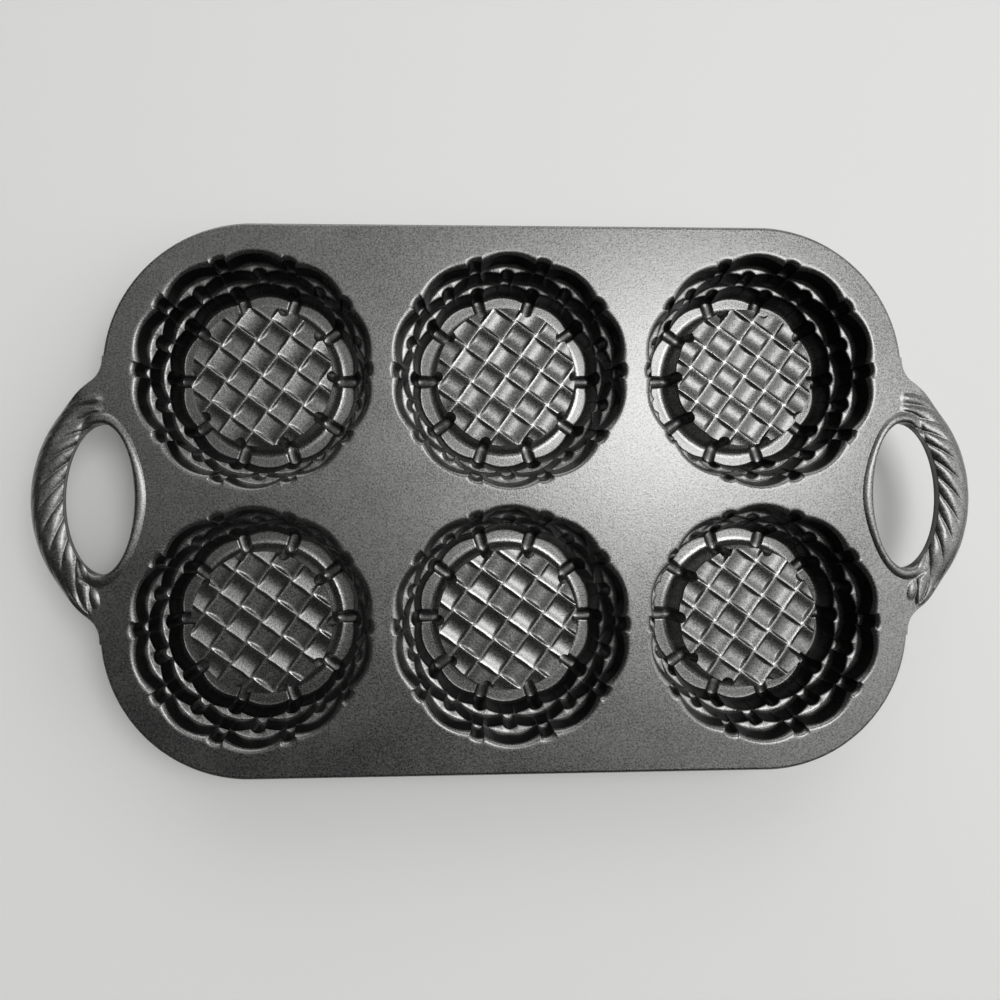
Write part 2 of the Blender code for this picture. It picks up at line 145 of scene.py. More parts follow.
# Painted light, 0 to 1: 0 is the near-black painted shade and the roughest gloss, 1 the painted highlight and
# the smoothest
PLATE_TROUGH_LIGHT = 0.45
RIDGE_HIGHLIGHT_DEPTH = 0.4
GROOVE_SHADE = 0.35
GROOVE_SHADE_REACH = 38.0
# Plain coat tone of the deck and the handles' tops, halfway between painted shade and painted highlight
FLAT_LEVEL = 0.5

# Handle outline
WINDOW_HALF = 30.5
WINDOW_INNER = 13.6
WINDOW_OUTER = 15.9
GRIP_RADIUS = 59.5
GRIP_CENTRE = WINDOW_OUTER + 12.3 - GRIP_RADIUS
FILLET = 11.0
FILLET_X, FILLET_Y = 10.89, 56.48
TAB_INSIDE = -2.0
TAB_END = 58.03
FAR_INSIDE = 9.0
BOW_SHARE = 0.9
BOW_PARTS = 420
WING_PARTS = 24
BACK_PARTS = 320
ACROSS = 56
BASE_STEP = 4

# Bead round the window, and where it passes into the grip
BEAD_WIDTH = 4.6
BEAD_HEIGHT = 0.9
BEAD_CREST = 1.7
BEAD_OUTSIDE = 2.8
BEAD_INSIDE_FALL = 0.9
WINDOW_ROUNDING = 0.4
BEAD_END = 3.0
BEAD_FADE = 8.0
BEAD_BLEND = 0.04

# Rope grip; turns are degrees about the bow's centre
GRIP_CREST = 3.0
GRIP_END_CREST = 0.9
GRIP_ARCH = 7.0
GRIP_INNER = 5.5
GRIP_INNER_DROP = 1.9
GRIP_OUTER_LOW = -3.0
GRIP_BLEND = 0.4
GRIP_LEAN = 1.8
LEAN_START = 3.0
LEAN_FADE = 6.0
LEAN_SHARE = 0.3
LEAN_VALLEY = 0.2
WALL_ROWS = ((0.15, 0.08), (0.4, 0.33), (0.7, 0.72), (0.88, 0.92))
CREST_TURN = 20.0
DROP_TURN = 18.0
GRIP_FADE = 24.0
DROP_LOSS = 0.7
BOW_TURN = 34.0
BOW_TURN_FADE = 16.0
BOW_START = 2.0
BOW_START_FADE = 7.0
TAB_FADE = 0.2
GRIP_BASE = -5.0
GRIP_BASE_LIFT = 1.7

# Strands
STRAND_ANGLE = 9.55
STRAND_LEAN = 9.9
STRAND_START = 0.4
STRAND_FULLNESS = 0.96
BOW_MIDDLE = 51.2
BOW_HALF = 6.5
STRAND_RELIEF = 1.0
OUTSIDE_RELIEF = 0.2
RELIEF_END = 8.0
RELIEF_FADE = 5.5
OUTER_EDGE_FADE = 2.0
LAST_STRAND = 6.3
LAST_FADE = 0.8

# Strands as ridges on the tabs
VALLEY = 0.72
BACK_POWER = 1.5
FRONT_SHARE = 1.35
FRONT_START = 2.6
FRONT_FADE = 2.0
RIDGE_EDGE_FADE = 3.0
RIDGE_FOOT = BEAD_WIDTH - 0.6
RIDGE_FOOT_FADE = 1.6
HEAD_LINE = -1.6
HEAD_LENGTH = 4.0
HEAD_HEIGHT = 0.75
HEAD_ROUNDING = 1.5
END_LINE = -44.8
END_REACH = 4.0
END_STEP = 2.0
END_STEP_FADE = 3.0
END_INSIDE = TAB_INSIDE + 0.5
TAIL_PLACE = (2.1, -39.6)
TAIL_HALF_LENGTH = 4.3
TAIL_HALF_WIDTH = 2.2
TAIL_LEAN = np.radians(17.0)

# Coating: colours and roughness for painted shade and painted highlight, and how the grain and the clouds vary
# them
PAINTED_SHADE_COAT = (0.026, 0.026, 0.026, 1)
PAINTED_HIGHLIGHT_COAT = (0.365, 0.365, 0.36, 1)
METALLIC = 0.92
SPECULAR = 0.5
ROUGHNESS = (0.33, 0.27)
GRAIN_SCALE = 1500.0
GRAIN_DETAIL = 3.0
GRAIN_RANGE = (0.3, 0.7)
GRAIN_SHADES = (0.54, 1.46)
GRAIN_ROUGHNESS = (0.79, 1.21)
CLOUD_SCALE = 38.0
CLOUD_DETAIL = 4.0
CLOUD_RANGE = (0.35, 0.65)
CLOUD_SHADES = (0.93, 1.07)
BUMP_STRENGTH = 0.5
BUMP_DISTANCE = 0.0001

# Floor, room and lamp, in metres and watts; a patch of the room has a direction, a reach in degrees and a
# strength
FLOOR_HALF = 3.0
FLOOR_COLOUR = (0.95, 0.95, 0.94, 1)
FLOOR_ROUGHNESS = 0.9
ROOM_COLOUR = (1.0, 1.0, 0.99, 1)
ROOM_LEVEL = 0.03
ROOM = (
    ((-0.3, 0.3, 0.906), 30.0, 0.12),
    ((-0.1, 0.3, 0.949), 30.0, 0.41),
    ((0.3, 0.1, 0.949), 30.0, 0.99),
    ((0.5, -0.1, 0.86), 30.0, 0.18),
    ((0.7, -0.1, 0.707), 30.0, 0.93),
    ((0.93, 0.26, 0.26), 45.0, 0.9),
    ((0.0, 0.97, 0.25), 45.0, 1.7),
)
LAMP_SIZE = 0.42
LAMP_POWER = 3.08
LAMP_PLACE = (0.38, 0.19, 1.03)
LAMP_AIM = (0.05, 0.0, 0.03)

# Camera, fitted to the photograph's cup edges
LENS = 25.85
SENSOR = 36.0
LENS_SHIFT = (0.036, -0.014)
NEAREST = 0.01
CAMERA_PLACE = (-0.03017, -0.003275, 0.3268)
CAMERA_TURN = (-1.56, 2.13, 0.28)


# Mesh helpers

def store(name, points, quads, triangles, values):
    """Mesh piece from arrays: points in millimetres above the deck's top, faces, and one painted-light value a
    point.
    """
    mesh = bpy.data.meshes.new(name)
    corners = np.concatenate([quads.ravel(), triangles.ravel()]).astype(np.int32)
    starts = np.concatenate([4 * np.arange(len(quads)), 4 * len(quads) + 3 * np.arange(len(triangles))])
    place = (points + np.array([0.0, 0.0, DECK_HEIGHT])) * MM
    mesh.vertices.add(len(place))
    mesh.vertices.foreach_set("co", place.astype(np.float32).ravel())
    mesh.loops.add(len(corners))
    mesh.loops.foreach_set("vertex_index", corners)
    mesh.polygons.add(len(starts))
    mesh.polygons.foreach_set("loop_start", starts.astype(np.int32))
    mesh.update(calc_edges=True)
    # The point's value is painted light: low for painted shade, high for painted highlight; it also sets the
    # gloss
    layer = mesh.attributes.new("painted_light_and_gloss", "FLOAT", "POINT")
    layer.data.foreach_set("value", values.astype(np.float32))
    mesh.shade_smooth()
    mesh.set_sharp_from_angle(angle=SHARP_ANGLE)
    piece = bpy.data.objects.new(name, mesh)
    bpy.context.scene.collection.objects.link(piece)
    return piece


def row_quads(rows, columns, closed=True):
    """Quads between neighbouring rows of points that are stored row after row; closed rows wrap round."""
    across = np.arange(columns if closed else columns - 1)
    row = np.arange(rows - 1)[:, None] * columns
    a = row + across
    b = row + (across + 1) % columns
    return np.stack([a, b, b + columns, a + columns], axis=-1).reshape(-1, 4)


def loop_edges(start, count):
    """Edges of a closed loop of points that are numbered on from start."""
    numbers = np.arange(count)
    return start + np.stack([numbers, (numbers + 1) % count], axis=-1)


def flat_triangles(places, edges):
    """Delaunay triangles between flat points, with the given edges kept."""
    vectors = [Vector(place) for place in places.tolist()]
    found = delaunay_2d_cdt(vectors, edges.tolist(), [], 0, MERGE_DISTANCE, False)
    return np.array(found[2])


def smooth(value):
    """Rise from 0 to 1 with level ends: t t (3 - 2 t) of the value held between 0 and 1."""
    value = np.clip(value, 0.0, 1.0)
    return value * value * (3 - 2 * value)


def soft_low(a, b, width):
    """Smaller of two values, less (width - difference)^2 / (4 width) where they differ by less than width."""
    gap = np.clip(width - np.abs(a - b), 0.0, None)
    return np.minimum(a, b) - gap * gap / (4 * width)


def soft_high(a, b, width):
    """Larger of two values, rounded the same way."""
    return -soft_low(-a, -b, width)


def rounding(gap, radius):
    """Drop of a rounded edge at a distance inside it: radius less the height of a quarter circle."""
    over = np.clip(radius - gap, 0.0, radius)
    return radius - np.sqrt(np.clip(radius ** 2 - over ** 2, 0.0, None))


def run(start, end, count):
    """Rows on the straight lines from one row to the next, without the first row."""
    share = np.arange(1, count + 1)[:, None, None] / count
    return start[None] + (end - start)[None] * share


def filleted(corners, legs, shares, run_counts, bend_counts, run_values, bend_values):
    """Rows along a broken line of corner rows with its inner corners rounded, and the rows' painted-light
    values.

    The runs are straight. At a corner P the curve is (1-s)^2 A + 2 s (1-s) P + s^2 B, where A and B lie on
    the two runs a leg's length from P, and no further than the given shares of the run before it and the run
    after it.
    """
    rows = [corners[0][None]]
    values = [np.array([run_values[0]])]
    last = corners[0]
    for number in range(1, len(corners) - 1):
        point = corners[number]
        back = corners[number - 1] - point
        ahead = corners[number + 1] - point
        back_length = np.maximum(np.linalg.norm(back, axis=-1, keepdims=True), 1e-6)
        ahead_length = np.maximum(np.linalg.norm(ahead, axis=-1, keepdims=True), 1e-6)
        before, after = shares[number - 1]
        leg = np.minimum(legs[number - 1], np.minimum(before * back_length, after * ahead_length))
        first = point + back / back_length * leg
        final = point + ahead / ahead_length * leg
        rows.append(run(last, first, run_counts[number - 1]))
        values.append(np.full(run_counts[number - 1], run_values[number - 1]))
        s = np.linspace(0, 1, bend_counts[number - 1] + 1)[1:, None, None]
        rows.append((1 - s) ** 2 * first[None] + 2 * s * (1 - s) * point[None] + s * s * final[None])
        values.append(np.full(bend_counts[number - 1], bend_values[number - 1]))
        last = final
    rows.append(run(last, corners[-1], run_counts[-1]))
    values.append(np.full(run_counts[-1], run_values[-1]))
    return np.concatenate(rows), np.concatenate(values)


# Cups

def column_turns(stake, lower_stake):
    """Angles of the columns round a cup, closer together inside the stakes.

    In each half period one knot lies `stake` from a stake of the first tier and one lies `lower_stake` from a
    stake of the second. Inside a stake the columns follow the sine of equal steps.
    """
    sweep = np.sin(np.linspace(0, np.pi / 2, STAKE_COLUMNS + 1))
    between = np.linspace(stake, HALF_PERIOD - lower_stake, SCALLOP_COLUMNS + 1)[1:]
    half = np.concatenate([stake * sweep, between, HALF_PERIOD - lower_stake * sweep[::-1][1:]])
    period = np.concatenate([half[:-1], 2 * HALF_PERIOD - half[::-1][:-1]])
    return (2 * HALF_PERIOD * np.arange(PERIODS)[:, None] + period[None]).ravel()


def tier_reach(turns, top, stake_half, stake_reach, phase, power=0.5):
    """Distance from the axis to a tier's wall.

    A scallop is an arc of radius SCALLOP about top - SCALLOP on its middle line. Within stake_half of a cusp
    the wall stands out of the cusp by stake_reach times (1 - t^2) to the power: half an ellipse for 0.5, a
    parabola for 1.
    """
    off = np.abs((turns - phase + HALF_PERIOD) % (2 * HALF_PERIOD) - HALF_PERIOD)
    held = np.minimum(off, HALF_PERIOD - stake_half)
    centre = top - SCALLOP
    arc = centre * np.cos(held) + np.sqrt(SCALLOP ** 2 - (centre * np.sin(held)) ** 2)
    share = np.clip((HALF_PERIOD - off) / stake_half, 0.0, 1.0)
    return arc + stake_reach * (1 - share * share) ** power


def ring(radius, turns, height):
    """Row of points at a radius and height, at the given angles round the axis."""
    return np.stack([radius * np.cos(turns), radius * np.sin(turns), height + 0 * turns], axis=-1)


def strip(along, across):
    """Height of one woven strip's trough, 0 at the top of the weave.

    Along the strip it is a circular arc, TROUGH_DEPTH deep. Its walls slope up with a rounded foot from a
    floor that is narrower where the trough is deep, so they bulge in the middle.
    """
    low = TROUGH_CURVE - TROUGH_DEPTH - np.sqrt(np.clip(TROUGH_CURVE ** 2 - along ** 2, 0.0, None))
    half = STRIP_HALF - STRIP_NARROWING * np.clip(-low, 0.0, None)
    return low + soft_high((across - half) / STRIP_WALL, 0.0 * low, STRIP_FILLET)


def weave(x, y):
    """Height of the woven middle at a place from the cup's axis, 0 on the ridges.

    On a chequer of square cells the strips run by turns along and across. The surface is the softened
    smallest of the cell's own strip, the one beside it and the top.
    """
    y = y - WEAVE_SHIFT
    along = (x * np.cos(WEAVE_TURN) + y * np.sin(WEAVE_TURN)) / PITCH
    across = (y * np.cos(WEAVE_TURN) - x * np.sin(WEAVE_TURN)) / PITCH
    turned = (np.floor(along) + np.floor(across)) % 2 < 0.5
    a = np.abs(along - np.floor(along) - 0.5) * PITCH
    b = np.abs(across - np.floor(across) - 0.5) * PITCH
    own = np.where(turned, b, a)
    side = np.where(turned, a, b)
    height = soft_low(strip(own, side), strip(side, PITCH - own), RIDGE_ROUNDING)
    return soft_low(height, 0.0 * height, RIDGE_ROUNDING)


def groove(radius, turns):
    """Depth of the round cross grooves at a place: root of GROOVE_RADIUS^2 - d^2.

    Here d is the distance from the nearest radial line through a stake of the first tier.
    """
    off = (turns + HALF_PERIOD) % (2 * HALF_PERIOD) - HALF_PERIOD
    return np.sqrt(np.clip(GROOVE_RADIUS ** 2 - (radius * np.sin(off)) ** 2, 0.0, None))


def middle_edge():
    """Row along the edge of the raised middle: its radius grows with the trough's depth, less the groove."""
    turns = column_turns(np.arcsin(GROOVE_RADIUS / MIDDLE_EDGE), PLAIN_KNOT)
    cut = groove(MIDDLE_EDGE, turns)
    radius = MIDDLE_EDGE - cut
    for _ in range(4):
        depth = -weave(radius * np.cos(turns), radius * np.sin(turns))
        radius = MIDDLE_EDGE + MIDDLE_SLOPE * depth - cut
    return ring(radius, turns, MIDDLE_TOP - depth)


def ledge_corners(upper):
    """Corner rows of the ledge under a tier: the edge of the wall below and the foot of the wall above."""
    lower = upper + 1
    foot_turn = FOOT_TURNS[upper]
    top_turn = TOP_TURNS[lower]
    turns = column_turns(top_turn, foot_turn) if upper else column_turns(foot_turn, top_turn)
    edge = tier_reach(turns, TIER_TOPS[lower], top_turn, TOP_REACHES[lower], PHASES[lower], 1.0)
    foot = tier_reach(turns, TIER_FEET[upper], foot_turn, FOOT_REACHES[upper], PHASES[upper])
    height = -lower * TIER_DROP
    return [
        ring(soft_low(edge, foot - LEDGE_LEAST, LEDGE_BLEND), turns, height - LEDGE_FALL),
        ring(foot, turns, height + LEDGE_FALL),
    ]


def inside_corners():
    """Corner rows of the cavity from the edge of the raised middle out to the collar."""
    corners = [middle_edge()]
    turns = column_turns(np.arcsin(GROOVE_RADIUS / MIDDLE_FOOT), PLAIN_KNOT)
    cut = groove(MIDDLE_FOOT, turns)
    corners.append(ring(MIDDLE_FOOT - cut, turns, FLOOR - GROOVE_DEPTH / GROOVE_RADIUS * cut))
    turns = column_turns(FOOT_TURNS[2], PLAIN_KNOT)
    reach = tier_reach(turns, TIER_FEET[2], FOOT_TURNS[2], FOOT_REACHES[2], PHASES[2])
    corners.append(ring(reach, turns, FLOOR - GROOVE_DEPTH / GROOVE_RADIUS * groove(reach, turns)))
    corners += ledge_corners(1) + ledge_corners(0)
    turns = column_turns(TOP_TURNS[0], PLAIN_KNOT)
    corners.append(ring(tier_reach(turns, MOUTH, TOP_TURNS[0], TOP_REACHES[0], PHASES[0]), turns, 0.0))
    corners.append(ring(COLLAR + 0 * turns, turns, 0.0))
    return corners


def reach_at(edge, x, y):
    """Distance from the axis to an edge row, in the direction of each place."""
    edge_turn = np.arctan2(edge[:, 1], edge[:, 0])
    edge_reach = np.hypot(edge[:, 0], edge[:, 1])
    order = np.argsort(edge_turn)
    return np.interp(np.arctan2(y, x), edge_turn[order], edge_reach[order], period=2 * np.pi)


def middle_plate(edge):
    """Woven top inside its edge row: grid lines that crowd at the ridges, joined to the edge by triangles."""
    beside = np.array(LINES_BESIDE_RIDGE)
    ridges = np.arange(-CELLS, CELLS + 1)[:, None] * PITCH
    lines = np.concatenate([ridges - beside, ridges + beside, ridges + PITCH / 2], axis=1)
    lines = np.unique(np.round(lines, 4))
    u, v = (part.ravel() for part in np.meshgrid(lines, lines))
    x = u * np.cos(WEAVE_TURN) - v * np.sin(WEAVE_TURN)
    y = u * np.sin(WEAVE_TURN) + v * np.cos(WEAVE_TURN) + WEAVE_SHIFT
    kept = np.hypot(x, y) < reach_at(edge, x, y) - GRID_CLEARANCE
    inner = np.stack([x[kept], y[kept], MIDDLE_TOP + weave(x[kept], y[kept])], axis=-1)
    points = np.concatenate([edge, inner])
    triangles = flat_triangles(points[:, :2], loop_edges(0, len(edge)))
    middle = points[triangles].mean(axis=1)
    within = np.hypot(middle[:, 0], middle[:, 1]) < reach_at(edge, middle[:, 0], middle[:, 1])
    return inner, triangles[within]


def outside_corners():
    """Corner rows of the underside from the collar's lower edge to the hollow under the middle."""
    turns = column_turns(OUTSIDE_KNOT, OUTSIDE_KNOT)
    corners = [ring(COLLAR + 0 * turns, turns, -DECK_THICK)]
    for top, stake_reach, phase, height in OUTSIDE_TIERS:
        reach = tier_reach(turns, top, OUTSIDE_STAKE, stake_reach, phase)
        corners.append(ring(0.5 * reach + 0.5 * reach.max() + WALL, turns, height))
    for radius, height in HOLLOW:
        corners.append(ring(radius + 0 * turns, turns, height))
    return corners


def ridge_highlight(height):
    """Painted highlight on the woven top: full on its ridges, down to the plate's trough level a set depth
    below them.
    """
    share = smooth((height - MIDDLE_TOP + RIDGE_HIGHLIGHT_DEPTH) / RIDGE_HIGHLIGHT_DEPTH)
    return PLATE_TROUGH_LIGHT + (1 - PLATE_TROUGH_LIGHT) * share


def cup_shape():
    """Points, quads, triangles and painted-light values of one closed cup about its axis: cavity, middle and
    underside.
    """
    corners = inside_corners()
    lip = np.hypot(corners[-2][:, 0], corners[-2][:, 1])[:, None]
    inside, inside_painted_light = filleted(
        corners,
        legs=[2.4, 0.6, 0.5, 1.0, 0.5, 1.0, LIP_LEG + LIP_SPREAD * (MOUTH - lip)],
        shares=[(0.45, 0.45), (0.45, 0.45), (0.45, 0.2), (0.4, 0.45), (0.45, 0.2), (0.4, 0.45), (0.45, 0.8)],
        run_counts=[5, 4, 4, 2, 4, 2, 5, 3],
        bend_counts=[7, 4, 4, 7, 4, 7, 8],
        # Painted light by row: near-black painted shade on the tiers' walls and half shade at their edges,
        # painted highlight on the ledges and the middle's wall, the plain level on the ring floor, lip and
        # collar
        run_values=[1.0, 0.5, 0.0, 0.6, 0.0, 0.6, 0.0, 0.5],
        bend_values=[0.9, 0.3, 0.3, 0.6, 0.3, 0.6, 0.5],
    )
    outside, outside_painted_light = filleted(
        outside_corners(),
        legs=[0.3, 2.2, 1.0, 2.2, 1.0, 2.6, 1.2, 2.0],
        shares=[(0.45, 0.45)] * 8,
        run_counts=[1, 3, 1, 3, 1, 3, 3, 3, 3],
        bend_counts=[2, 4, 3, 4, 3, 5, 3, 4],
        # The underside is all near-black painted shade
        run_values=[0.0] * 9,
        bend_values=[0.0] * 8,
    )
    edge = inside[0]
    plate, triangles = middle_plate(edge)
    rows = np.concatenate([inside, outside])
    count = len(rows) * COLUMNS
    pole = np.array([[0.0, 0.0, HOLLOW_TOP]])
    points = np.concatenate([rows.reshape(-1, 3), plate, pole])
    row_painted_light = np.repeat(np.concatenate([inside_painted_light, outside_painted_light]), COLUMNS)
    reach = np.hypot(inside[..., 0], inside[..., 1])
    bed = groove(reach, np.arctan2(inside[..., 1], inside[..., 0])) / GROOVE_RADIUS
    # Painted shade in the beds of the cross grooves near the ring floor
    row_painted_light[:inside_painted_light.size * COLUMNS] -= (GROOVE_SHADE * bed * (reach < GROOVE_SHADE_REACH)).ravel()
    # Painted highlight on the weave's ridges along the edge row
    row_painted_light[:COLUMNS] = ridge_highlight(edge[:, 2])
    light_and_gloss = np.concatenate([row_painted_light, ridge_highlight(plate[:, 2]), [0.0]])
    moved = np.where(triangles < COLUMNS, triangles, triangles - COLUMNS + count)
    last = count - COLUMNS + np.arange(COLUMNS)
    fan = np.stack([last, np.roll(last, -1), np.full(COLUMNS, len(points) - 1)], axis=-1)
    quads = row_quads(len(rows), COLUMNS)[:, ::-1]
    return points, quads, np.concatenate([moved, fan[:, ::-1]]), light_and_gloss


def make_cups(finish):
    """A cup at each of its places, from the same arrays."""
    points, quads, triangles, light_and_gloss = cup_shape()
    for name, (x, y) in CUPS.items():
        piece = store(name + "_cast", points + np.array([x, y, 0.0]), quads, triangles, light_and_gloss)
        piece.data.materials.append(finish)
        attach(piece, "root")
        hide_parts(name)


# Handles

def oval(turns, outer, inner, half_length):
    """Points of an oval about the window's middle, with its own half width on each side of the deck's edge."""
    reach = np.where(np.cos(turns) > 0, outer, inner)
    return np.stack([reach * np.cos(turns), half_length * np.sin(turns)], axis=-1)


def arc(centre, radius, turns):
    """Points of a circle at the given angles."""
    return np.stack([centre[0] + radius * np.cos(turns), centre[1] + radius * np.sin(turns)], axis=-1)


def line(start, end, parts):
    """Evenly divided straight line, without its first point."""
    share = np.arange(1, parts + 1)[:, None] / parts
    return np.array(start) + (np.array(end) - np.array(start)) * share


def window_on_rays(turns):
    """Where rays from the bow's centre leave the window: the larger root of the oval's equation on a ray."""
    c, s = np.cos(turns), np.sin(turns)
    a = (c / WINDOW_OUTER) ** 2 + (s / WINDOW_HALF) ** 2
    b = GRIP_CENTRE * c / WINDOW_OUTER ** 2
    k = (GRIP_CENTRE / WINDOW_OUTER) ** 2 - 1
    reach = (-b + np.sqrt(b * b - a * k)) / a
    return np.stack([GRIP_CENTRE + reach * c, reach * s], axis=-1)


def handle_loops():
    """Matching points on the window's edge and on the handle's outside, once round.

    The bow's stations are rays from the bow's centre. Then come the bow's end, the fillet, the tab's edge,
    the tab's end and its seam, the bead's foot on the deck side, and the same mirrored.
    """
    bow_end = BOW_SHARE * np.arctan2(WINDOW_HALF, -GRIP_CENTRE)
    turns = np.linspace(-bow_end, bow_end, BOW_PARTS + 1)
    bow_inner = window_on_rays(turns)
    bow_outer = arc((GRIP_CENTRE, 0.0), GRIP_RADIUS, turns)
    bow_touch = np.arctan2(FILLET_Y, FILLET_X - GRIP_CENTRE)
    corner_touch = np.arctan2(FILLET_Y - CORNER_Y, FILLET_X + CORNER)
    corner_end = np.arcsin((TAB_END - CORNER_Y) / CORNER)
    share = np.arange(1, 3 * WING_PARTS + 1) / (3 * WING_PARTS)
    wing = [
        arc((GRIP_CENTRE, 0.0), GRIP_RADIUS, bow_end + (bow_touch - bow_end) * share),
        arc((FILLET_X, FILLET_Y), FILLET, np.pi + bow_touch + (corner_touch - bow_touch) * share),
    ]
    turn = corner_touch + (corner_end - corner_touch) * np.arange(1, WING_PARTS + 1) / WING_PARTS
    wing.append(np.stack([CORNER * (np.cos(turn) - 1), CORNER_Y + CORNER * np.sin(turn)], axis=-1))
    bead = (WINDOW_OUTER + BEAD_WIDTH, WINDOW_INNER + BEAD_WIDTH, WINDOW_HALF + BEAD_WIDTH)
    join = np.arccos(TAB_INSIDE / bead[1])
    wing.append(line(wing[-1][-1], (TAB_INSIDE, TAB_END), WING_PARTS))
    wing.append(line((TAB_INSIDE, TAB_END), (TAB_INSIDE, bead[2] * np.sin(join)), 2 * WING_PARTS))
    wing = np.concatenate(wing)
    start = np.arctan2(bow_inner[-1, 1] / WINDOW_HALF, bow_inner[-1, 0] / WINDOW_OUTER)
    turn = start + (join - start) * np.arange(1, len(wing) + 1) / len(wing)
    wing_inner = oval(turn, WINDOW_OUTER, WINDOW_INNER, WINDOW_HALF)
    turn = join + 2 * (np.pi - join) * np.arange(1, BACK_PARTS) / BACK_PARTS
    back_inner = oval(turn, WINDOW_OUTER, WINDOW_INNER, WINDOW_HALF)
    back_outer = oval(turn, *bead)
    flip = np.array([1.0, -1.0])
    inner = np.concatenate([bow_inner, wing_inner, back_inner, wing_inner[::-1] * flip])
    outer = np.concatenate([bow_outer, wing, back_outer, wing[::-1] * flip])
    return inner, outer


def grip_share(x, y):
    """1 along the bow and 0 on the tabs, with a smooth fall past the window's ends."""
    tip = np.arctan2(WINDOW_HALF, -GRIP_CENTRE)
    turn = np.abs(np.arctan2(y, x - GRIP_CENTRE))
    return 1 - smooth((turn - tip) / (TAB_FADE * tip))


def window_distance(x, y):
    """Distance outside the window's edge, scaled so that the bead's foot lies BEAD_WIDTH from it."""
    turn = np.arctan2(y / WINDOW_HALF, x / np.where(x > 0, WINDOW_OUTER, WINDOW_INNER))
    edge = np.linalg.norm(oval(turn, WINDOW_OUTER, WINDOW_INNER, WINDOW_HALF), axis=-1)
    foot = oval(turn, WINDOW_OUTER + BEAD_WIDTH, WINDOW_INNER + BEAD_WIDTH, WINDOW_HALF + BEAD_WIDTH)
    return BEAD_WIDTH * (np.hypot(x, y) - edge) / (np.linalg.norm(foot, axis=-1) - edge)


def edge_gap(x, y):
    """Distance from the free outside edge: the deck's corner, or the fillet between it and the bow."""
    y = np.abs(y)
    bend = np.hypot(x - FILLET_X, y - FILLET_Y) - FILLET
    corner = CORNER - np.hypot(x + CORNER, np.clip(y - CORNER_Y, 0.0, None))
    split = (x + CORNER) * (FILLET_Y - CORNER_Y) - (y - CORNER_Y) * (FILLET_X + CORNER)
    return np.where(split < 0, corner, np.where(x < FILLET_X, bend, FAR_INSIDE))


def bead_share(x):
    """1 where the bead goes round the window and 0 where the rope grip has taken its place."""
    return 1 - smooth((x - BEAD_END) / BEAD_FADE)


def bead_height(x, distance):
    """Height of the bead round the window.

    It is a parabola that falls from its crest to a foot BEAD_OUTSIDE behind it, and a flatter one to the
    window's rounded edge. It fades out where the rope grip begins.
    """
    outside = 1 - (np.clip(distance - BEAD_CREST, 0.0, BEAD_OUTSIDE) / BEAD_OUTSIDE) ** 2
    inside = 1 - BEAD_INSIDE_FALL * np.clip(1 - distance / BEAD_CREST, 0.0, 1.0) ** 2
    return (BEAD_HEIGHT * outside * inside - rounding(distance, WINDOW_ROUNDING)) * bead_share(x)


def strand_place(x, y):
    """Count of strands at a place; whole numbers are the valleys, which lean back as the bow is crossed.

    It is the angle, plus STRAND_LEAN times the arc sine of the distance from the bow's middle line over
    BOW_HALF, in steps of STRAND_ANGLE.
    """
    radius = np.hypot(x - GRIP_CENTRE, y)
    turn = np.degrees(np.arctan2(y, x - GRIP_CENTRE))
    lean = STRAND_LEAN * np.arcsin(np.clip((radius - BOW_MIDDLE) / BOW_HALF, -1.0, 1.0))
    return (turn + lean - STRAND_START) / STRAND_ANGLE


def across_strand(place):
    """Place across a strand: 0 on its crest, -1 and 1 in its valleys."""
    return 2 * (place - np.floor(place)) - 1


def strand_round(place):
    """Half section of a strand between two valleys, 1 on its crest: root of 1 - (STRAND_FULLNESS t)^2."""
    return np.sqrt(1 - (STRAND_FULLNESS * across_strand(place)) ** 2)


def bow_height(x, distance, turn, gap):
    """Height of the rope grip without its strands.

    It is the lower of a cubic that falls from the crest to the window's edge and a quarter ellipse that rises
    from the outer edge. Towards the grip's ends the crest comes down and the fall grows less.
    """
    crest = GRIP_CREST + (GRIP_END_CREST - GRIP_CREST) * smooth((turn - CREST_TURN) / GRIP_FADE)
    start = BEAD_WIDTH * bead_share(x)
    drop = GRIP_INNER_DROP * (1 - DROP_LOSS * smooth((turn - DROP_TURN) / GRIP_FADE))
    inner = crest - drop * np.clip(1 - (distance - start) / GRIP_INNER, 0.0, 1.0) ** 3
    share = np.clip(gap / GRIP_ARCH, 0.0, 1.0)
    outer = GRIP_OUTER_LOW + (crest - GRIP_OUTER_LOW) * np.sqrt(1 - (1 - share) ** 2)
    return soft_low(inner, outer, GRIP_BLEND)


def head_share(x, y, valley):
    """How far a strand has risen on a tab, from 0 to 1 over HEAD_LENGTH behind its rounded head.

    The heads lie along the deck's edge line at the back and along END_LINE at the front.
    """
    end = y - END_LINE + END_REACH * smooth((x - END_STEP) / END_STEP_FADE)
    line_gap = np.where(y > 0, x - HEAD_LINE, np.minimum(end, 2 * (x - END_INSIDE)))
    return smooth((line_gap - HEAD_ROUNDING * valley) / HEAD_LENGTH)


def tail_height(x, y):
    """The last strand's tail on the front tab: an oval drop, 1 - r^2 high, whose upper end leans outwards."""
    x = x - TAIL_PLACE[0]
    y = y - TAIL_PLACE[1]
    along = (y * np.cos(TAIL_LEAN) + x * np.sin(TAIL_LEAN)) / TAIL_HALF_LENGTH
    across = (x * np.cos(TAIL_LEAN) - y * np.sin(TAIL_LEAN)) / TAIL_HALF_WIDTH
    return HEAD_HEIGHT * np.clip(1 - along ** 2 - across ** 2, 0.0, 1.0)


